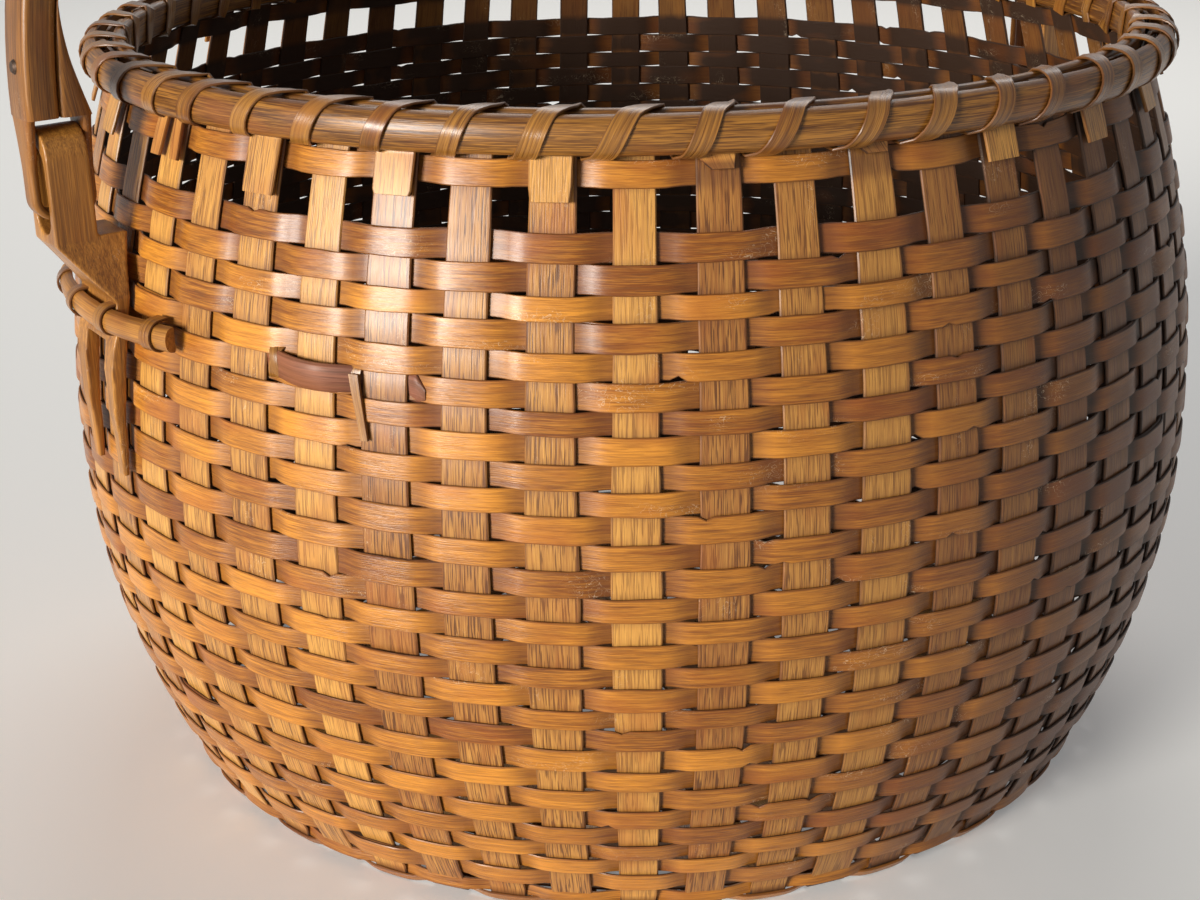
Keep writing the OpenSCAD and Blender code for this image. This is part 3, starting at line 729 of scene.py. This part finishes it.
# one closed strip runs round the rim as many times as there are spaces between uprights
profile = lash_line()
count = len(profile)
turn_of = np.repeat(np.arange(UPRIGHTS), count)
where = np.tile(np.arange(count), UPRIGHTS)
loose = rng.normal(0, 0.035, UPRIGHTS)
slant = 1 + rng.normal(0, 0.10, UPRIGHTS)
share = (profile[where, 2] - 0.34) * np.where(profile[where, 2] < 0.8, slant[turn_of], 1) + 0.34
angle = (turn_of + 0.5 + share + loose[turn_of]) * STEP
out, along = around(angle)
centre = out * profile[where, :1] + UP * profile[where, 1:2]
way = unit(np.roll(centre, -1, 0) - np.roll(centre, 1, 0))
flat = np.roll(profile[:, :2], -1, 0) - np.roll(profile[:, :2], 1, 0)
normal = unit(np.stack([flat[:, 1], -flat[:, 0]], -1))[where]
face = out * normal[:, :1] + UP * normal[:, 1:]
face = unit(face - way * (face * way).sum(-1, keepdims=True))
lash = Strips()
lash.sweep(centre, np.cross(way, face), face, LASH_W * (1 + rng.normal(0, 0.06, UPRIGHTS))[turn_of], LASH_T,
           closed=True, tone=(0.5 + rng.normal(0, 0.14, UPRIGHTS))[turn_of], grime=0.06 + 0.45 * EDGE, seed=900)
lash.make("rim_lashing_splint", LASH, "basket", "lashing", "rim_lashing")


# ---- ears ----

TAIL_Z = cad_box("ear_left")[0][2]
TAIL_MORE, TAIL_RAMP = 0.6, 13.0  # share of extra depth, and the length over which it comes
EAR_VOXEL, EAR_ROUNDS, EAR_DENTS = 0.45, 5, 0.16
EAR_GRAIN = [2, 0, 1]  # the axes along and across the grain
WORN_MOST = 0.3  # millimetres


def fuller_tails(co):
    """Thickens the two tails of an ear outward, most just under the stay."""
    r, z = np.abs(co[:, 0]) / MM, co[:, 2] / MM
    top = STAY_Z - STAY_H / 2 - 0.6
    below = np.clip((top - z) / TAIL_RAMP, 0, 1)
    left = np.clip((z - TAIL_Z) / (top - TAIL_Z), 0, 1)
    back = wall_r(z) + REACH + WEAVER_T
    grown = back + (r - back) * (1 + TAIL_MORE * below * (0.35 + 0.65 * left))
    co[:, 0] = np.where(r > back, np.sign(co[:, 0]) * grown * MM, co[:, 0])


def evaluated(piece):
    return bpy.data.meshes.new_from_object(piece.evaluated_get(bpy.context.evaluated_depsgraph_get()))


def points_of(mesh):
    co = np.empty(len(mesh.vertices) * 3, np.float32)
    mesh.vertices.foreach_get("co", co)
    return co.reshape(-1, 3).astype(float)


def worn_ear(side):
    """A hand-carved copy of an ear: its edges worn round and its faces faintly tooled."""
    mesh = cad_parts[f"ear_{side}"].data.copy()
    piece = bpy.data.objects.new(f"carved_ear_{side}", mesh)
    bpy.context.scene.collection.objects.link(piece)
    remesh = piece.modifiers.new("even", "REMESH")
    remesh.mode, remesh.voxel_size = "VOXEL", EAR_VOXEL * MM
    sharp = points_of(evaluated(piece))
    wear = piece.modifiers.new("wear", "SMOOTH")
    wear.factor, wear.iterations = 0.5, EAR_ROUNDS
    shaped = evaluated(piece)
    piece.modifiers.clear()
    piece.data = shaped
    co = points_of(shaped)
    normals = np.array([v.normal for v in shaped.vertices])
    worn = ((sharp - co) * normals).sum(1) / MM  # above 0 on edges, below 0 in corners
    dents = np.array([noise.noise(Vector(p * (90, 90, 34))) for p in co])
    co += normals * (dents * EAR_DENTS * MM)[:, None]
    fuller_tails(co)
    shaped.vertices.foreach_set("co", co.astype(np.float32).ravel())
    # tone lighter on the worn edges; painted shade darkens the corners
    lay(shaped, co[:, EAR_GRAIN], 0.42 + 0.30 * dents + 1.6 * worn.clip(0, WORN_MOST),
        0.12 + 2.5 * (-worn).clip(0, WORN_MOST))
    shaped.materials.clear()
    shaped.materials.append(CARVED)
    shaped.shade_smooth()
    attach(piece, "basket")
    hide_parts(f"ear_{side}")


worn_ear("left")
worn_ear("right")


# ---- stays and ties ----


def stay_arc():
    """Half length of a stay, radius of its flat back and the x of that arc's centre."""
    low, high = cad_box("stay_right")
    half, sag = high[1], high[0] - STAY_T - low[0]
    radius = arc_r(half, sag)
    return half, radius, high[0] - STAY_T - radius


STAY_HALF, STAY_R, STAY_MID_X = stay_arc()


def stay_line(turned):
    """Arc of a stay laid across an ear: its middle and its outward directions."""
    reach = math.asin(min(STAY_HALF / STAY_R, 1)) * 0.985
    out, _ = around(np.linspace(-reach, reach, 60))
    centre = out * (STAY_R + STAY_T / 2) + np.array([STAY_MID_X, 0, STAY_Z])
    if turned:
        centre[:, :2] *= -1
        out = out * np.array([-1, -1, 1])
    return centre, out


for name, turned in (("stay_right", False), ("stay_left", True)):
    centre, out = stay_line(turned)
    run = np.linspace(0, 1, len(centre))
    stay = Strips()
    section = half_round_section()
    # its two edges are darkened with dirt and painted shade
    stay.sweep(centre + UP * (0.3 * wander(run, 950, 1))[:, None], np.broadcast_to(UP, out.shape), out,
               STAY_H * (1 + 0.03 * wander(run, 951, 3)), STAY_T, section=section,
               tone=0.45 + 0.12 * wander(run, 952, 2), grime=0.12 + 0.25 * rim_of(section), seed=953)
    stay.make(f"half_round_{name}", CARVED, "basket", "stays", name)


TIE_W, TIE_T = 5.0, 0.8
TIE_STEPS = (-1.5, -0.5, 0.5, 1.5)  # uprights from the middle of an ear


def tie(strips, middle, out, along, tall, deep, slant, seed, tone=0.5, width=TIE_W, back=-3.4):
    """A splint band over a half-round bar: middle is on the bar's flat back, tall and deep its size."""
    a = np.radians(np.linspace(-90, 90, 15))
    u = np.concatenate([[back, back / 2], deep * np.cos(a), [back / 2, back]])
    v = np.concatenate([[-tall, -tall], tall * np.sin(a), [tall, tall]])
    shift = slant * np.linspace(-1, 1, len(u))
    centre = middle + out * u[:, None] + UP * v[:, None] + along * shift[:, None]
    way = unit(np.gradient(centre, axis=0))
    face = unit(np.cross(along, way))
    face *= np.sign((face * (out * np.maximum(u, 0.1)[:, None] + UP * v[:, None])).sum(-1, keepdims=True))
    strips.sweep(centre, unit(np.cross(way, face)), face, width, TIE_T, tone=tone,
                 grime=0.10 + 0.45 * EDGE, seed=seed)


ties = Strips()
for turned in (1, -1):
    for k in TIE_STEPS:
        bend = math.asin(float(wall_r(STAY_Z) + REACH + WEAVER_T) * math.sin(k * STEP) / STAY_R)
        out = np.array([math.cos(bend), math.sin(bend), 0]) * (turned, turned, 1)
        along = np.array([-math.sin(bend), math.cos(bend), 0]) * (turned, turned, 1)
        middle = np.array([STAY_MID_X * turned, 0, STAY_Z]) + out * STAY_R
        tie(ties, middle, out, along, STAY_H / 2 + FIT + TIE_T / 2, STAY_T + FIT + TIE_T / 2,
            0.9 * math.sin(7 * k + turned), 960 + int(2 * k) + 5 * turned,
            tone=0.45 + 0.2 * math.sin(5 * k + turned))
ties.make("stay_tie_splints", LASH, "basket", "lashing", "stay_ties")


# a broken length of the left stay comes out again beyond the uprights beside the ear
BROKEN = (29.02, 31.52)  # from one upright to past another
BROKEN_OVER = 30  # the upright that it passes over
BROKEN_W, BROKEN_T = 9.0, 1.8
BROKEN_Z = ROW_Z[5]
BROKEN_END = 0.12  # the length of the torn end, in steps between uprights


def broken_line(steps):
    """Middle of the broken stay, and its outward and sideways directions."""
    out, along = around(steps * STEP)
    r = float(wall_r(BROKEN_Z)) + 0.2 + 2.9 * np.cos(math.pi * (steps - BROKEN_OVER))
    z = BROKEN_Z + 0.8 - 0.9 * (steps - BROKEN_OVER)
    return out * np.asarray(r)[..., None] + UP * np.asarray(z)[..., None], out, along


steps = np.linspace(*BROKEN, 60)
centre, out, _ = broken_line(steps)
broken = Strips()
ragged = np.clip((steps - BROKEN[1] + BROKEN_END) / BROKEN_END, 0, 1)
broken.sweep(centre - UP * (1.2 * ragged)[:, None], np.broadcast_to(UP, out.shape), out,
             BROKEN_W * (1 - 0.55 * ragged), BROKEN_T * (1 - 0.3 * ragged), section=splint_section(0.3, 0.06),
             tone=0.5 + 0.25 * wander(steps / 3, 970, 2), grime=0.15 + 0.4 * ragged, seed=971)
broken.make("broken_stay_end", STAINED, "basket", "stays")

# where each wrap lies, in uprights round the basket, how far it slants and its width
BROKEN_WRAPS = ((29.42, 2.4, 3.4), (29.46, -2.2, 3.0), (30.60, 1.2, 3.6))
LOOSE_AT, LOOSE_TOP, LOOSE_TAIL = 30.62, BROKEN_Z + 3, BROKEN_Z - 17
wraps = Strips()
for at, slant, wide in BROKEN_WRAPS:
    middle, out, along = broken_line(np.array([at]))
    tie(wraps, middle[0] - out[0] * BROKEN_T / 2, out[0], along[0], BROKEN_W / 2 + 0.6, BROKEN_T + 0.7, slant,
        980 + int(at * 100) % 97, tone=0.55, width=wide, back=-1.5)
z = np.linspace(LOOSE_TOP, LOOSE_TAIL, 14)
loose_end = np.stack([wall_r(z) + 2.4 + 0.3 * np.sin(z / 6), z], -1)
place_strip(wraps, loose_end, LOOSE_AT * STEP - 0.0009 * (z - z[0]), np.linspace(3.4, 2.4, 14), tone=0.6,
            grime=0.10 + 0.4 * EDGE, seed=990)
wraps.make("broken_stay_wraps", LASH, "basket", "lashing")


# ---- handle ----


def blank():
    """Half of the handle's one blank, from the top of the bail round the loop to the lap's tip.

    Each station: outer and inner point (x, z) and the width.
    """
    rows = []
    for a in np.radians(np.linspace(90, 0, 46)):
        turn = np.array([math.cos(a), math.sin(a)])
        rows.append(((BAR_OUT_X * turn) + (0, BAR_Z), ((BAR_OUT_X - BAR_T) * turn) + (0, BAR_Z), BAR_W))
    rows.append(((BAR_OUT_X, BAR_Z - 0.35), (BAR_OUT_X - LOOP_T, BAR_Z - 0.35), LOOP_TOP_W))
    inner_x = BAR_OUT_X - 2 * BAR_T - FIT
    out_r, in_r = LOOP_T + LOOP_BEND_R, LOOP_BEND_R
    floor_z = AXIS_Z - LOOP_T / 2
    narrow_z = AXIS_Z + LOOP_NARROW

    def loop_width(z):
        return LOOP_W + (LOOP_TOP_W - LOOP_W) * float(np.clip((z - narrow_z) / (BAR_Z - narrow_z), 0, 1)) ** 1.3

    for z in np.linspace(BAR_Z - 2, floor_z + out_r, 14):
        rows.append(((BAR_OUT_X, z), (BAR_OUT_X - LOOP_T, z), loop_width(z)))
    for a in np.radians(np.linspace(0, -90, 9))[1:]:
        turn = np.array([math.cos(a), math.sin(a)])
        middle = np.array([BAR_OUT_X - out_r, floor_z + out_r])
        rows.append((middle + turn * out_r, middle + turn * in_r, LOOP_W))
    for a in np.radians(np.linspace(-90, -180, 9)):
        turn = np.array([math.cos(a), math.sin(a)])
        middle = np.array([inner_x + out_r, floor_z + out_r])
        rows.append((middle + turn * out_r, middle + turn * in_r, LOOP_W))
    for z in np.linspace(floor_z + out_r, BAR_Z - 2, 14)[1:]:
        rows.append(((inner_x, z), (inner_x + LOOP_T, z), loop_width(z)))
    rows.append(((inner_x, BAR_Z - 0.35), (inner_x + LOOP_T, BAR_Z - 0.35), LOOP_TOP_W))
    lap_r = BAR_OUT_X - BAR_T - FIT
    for share in np.linspace(0, 1, 13):
        up = LAP_LEN * share
        lap_x = math.sqrt(lap_r**2 - up * up)
        inner = lap_x - max((lap_x - inner_x) * (1 - share) ** 1.15, LAP_TIP_T)
        rows.append(((inner, BAR_Z + up), (lap_x, BAR_Z + up), BAR_W))
    return rows


BAR_CORNER = 1.9


def rounded_ring(outer, inner, width, corner=BAR_CORNER):
    """Rounded rectangle between an outer and an inner point, in the plane across the blank."""
    outer, inner = np.array(outer, float), np.array(inner, float)
    thick = np.linalg.norm(outer - inner)
    way = (outer - inner) / max(thick, 1e-6)
    c = min(corner, thick * 0.42, width * 0.42)
    mid = (outer + inner) / 2
    ring, spots = [], []
    for sx, sy, a0 in ((1, 1, 0), (-1, 1, 90), (-1, -1, 180), (1, -1, 270)):
        for k in range(4):
            a = math.radians(a0 + 30 * k)
            t = sx * (thick / 2 - c) + c * math.cos(a)
            y = sy * (width / 2 - c) + c * math.sin(a)
            at = mid + way * t
            ring.append((at[0], y, at[1]))
            spots.append((y, t))
    return np.array(ring), np.array(spots)


def handle():
    """The whole blank as one mesh, from one lap's tip to the other."""
    half = blank()
    stations = [*(((-o[0], o[1]), (-i[0], i[1]), w) for o, i, w in reversed(half[1:])), *half]
    verts, spots = [], []
    for k, (outer, inner, width) in enumerate(stations):
        hand = 0.35 * math.sin(k * 0.23) + 0.25 * math.sin(k * 0.61 + 1)  # uneven, as cut by hand
        thick = math.dist(outer, inner)
        ring, spot = rounded_ring(outer, inner, width + hand * (thick > 2 * LOOP_T))
        verts.append(ring)
        spots.append(spot)
    verts, spots = np.array(verts), np.array(spots)
    n, m = verts.shape[:2]
    faces = [[a * m + k, a * m + (k + 1) % m, (a + 1) * m + (k + 1) % m, (a + 1) * m + k]
             for a in range(n - 1) for k in range(m)]
    faces += [list(range(m)), [(n - 1) * m + k for k in range(m - 1, -1, -1)]]
    middle = verts.mean(1)
    run = np.concatenate([[0], np.cumsum(np.linalg.norm(np.diff(middle, axis=0), axis=1))])
    grain = np.concatenate([np.broadcast_to(run[:, None, None], (n, m, 1)), spots], -1)
    thin = np.array([math.dist(o, i) for o, i, _ in stations]) < 4
    tone = 0.5 + 0.14 * wander(run / run[-1], 970, 5) + 0.12 * thin
    piece = Strips()
    corner = np.tile([0, 1, 1, 0], 4)  # the worn corners are lighter
    piece.add(verts.reshape(-1, 3), faces, grain.reshape(-1, 3), (tone[:, None] - 0.08 + 0.34 * corner).ravel(),
              np.repeat(np.where(thin, 0.14, 0.08), m))
    return piece.make("bent_handle", BENT, "handle", "handle", "handle", smooth=40)


handle()
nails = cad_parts["handle_nails"].data
nails.materials.clear()
nails.materials.append(iron())


# ---- camera, light and floor ----

PHOTO_W = 1200
FOCAL_PX, SENSOR = 1900.0, 36.0
CAMERA_ANGLE = math.radians(234.93)
CAMERA_OUT, CAMERA_UP = 728.4, 384.8
PITCH, ROLL, YAW = math.radians(21.66), -0.01523, -0.01708

camera = bpy.data.objects.new("camera", bpy.data.cameras.new("camera"))
bpy.context.scene.collection.objects.link(camera)
camera.data.sensor_width = SENSOR
camera.data.lens = SENSOR * FOCAL_PX / PHOTO_W
camera.data.clip_start, camera.data.clip_end = 0.05, 20
out, _ = around(CAMERA_ANGLE)
camera_at = (out * CAMERA_OUT + UP * CAMERA_UP) * MM
heading = CAMERA_ANGLE + math.pi - YAW
flat_out, _ = around(heading)
forward = flat_out * math.cos(PITCH) - UP * math.sin(PITCH)
right = unit(np.cross(forward, UP))
upward = np.cross(right, forward)
right, upward = (right * math.cos(ROLL) + upward * math.sin(ROLL),
                 upward * math.cos(ROLL) - right * math.sin(ROLL))
camera.matrix_world = Matrix([[*map(float, row), float(at)] for row, at in
                              zip(np.stack([right, upward, -forward], 1), camera_at)] + [[0, 0, 0, 1]])
bpy.context.scene.camera = camera


def toward(azimuth, elevation):
    out, _ = around(math.radians(azimuth))
    return Vector(out * math.cos(math.radians(elevation)) + UP * math.sin(math.radians(elevation)))


def lamp(name, kind, way, power, colour):
    data = bpy.data.lights.new(name, kind)
    data.energy, data.color = power, colour
    made = bpy.data.objects.new(name, data)
    bpy.context.scene.collection.objects.link(made)
    made.rotation_euler = (-way).to_track_quat("-Z", "Y").to_euler()
    return made


def area_lamp(name, way, distance, size, power, colour):
    made = lamp(name, "AREA", way, power, colour)
    made.data.size = size
    made.location = way * distance + Vector((0, 0, 0.15))


# the key light comes from the camera's left, as the photographed one does, and is soft
key = lamp("key", "SUN", toward(190, 10), 4.7, (1.0, 0.95, 0.88))
key.data.angle = math.radians(21)
area_lamp("fill", toward(292, 25), 2.2, 1.6, 1.0, (0.93, 0.96, 1.0))
area_lamp("back", toward(50, 45), 2.2, 1.4, 16, (1.0, 0.98, 0.95))


def paler_when_seen(tree, strength, light, seen):
    """Sets a strength to light, and to light + seen for the rays that show the background."""
    path = tree.nodes.new("ShaderNodeLightPath")
    shown = path.outputs["Is Camera Ray"]
    for ray in ("Is Glossy Ray", "Is Transmission Ray"):
        either = tree.nodes.new("ShaderNodeMath")
        either.operation = "MAXIMUM"
        tree.links.new(shown, either.inputs[0])
        tree.links.new(path.outputs[ray], either.inputs[1])
        shown = either.outputs[0]
    level = tree.nodes.new("ShaderNodeMath")
    level.operation = "MULTIPLY_ADD"
    level.inputs[1].default_value, level.inputs[2].default_value = seen, light
    tree.links.new(shown, level.inputs[0])
    tree.links.new(level.outputs[0], strength)


world = bpy.data.worlds.new("studio")
bpy.context.scene.world = world
world.use_nodes = True
backdrop = world.node_tree.nodes["Background"]
backdrop.inputs["Color"].default_value = (0.86, 0.88, 0.90, 1)
paler_when_seen(world.node_tree, backdrop.inputs["Strength"], light=0.14, seen=0.28)

FLOOR_HALF = 6.0  # metres
corners = [(x * FLOOR_HALF, y * FLOOR_HALF, 0) for x, y in ((-1, -1), (1, -1), (1, 1), (-1, 1))]
floor_mesh = bpy.data.meshes.new("floor")
floor_mesh.from_pydata(corners, [], [(0, 1, 2, 3)])
floor = bpy.data.objects.new("floor", floor_mesh)
bpy.context.scene.collection.objects.link(floor)
pale = bpy.data.materials.new("pale_floor")
pale.use_nodes = True
shader = pale.node_tree.nodes["Principled BSDF"]
shader.inputs["Base Color"].default_value = (0.80, 0.80, 0.78, 1)
shader.inputs["Roughness"].default_value = 0.7
shader.inputs["Emission Color"].default_value = (1, 1, 1, 1)
paler_when_seen(pale.node_tree, shader.inputs["Emission Strength"], light=0, seen=0.18)
floor_mesh.materials.append(pale)

bpy.context.scene.view_settings.view_transform = "Standard"
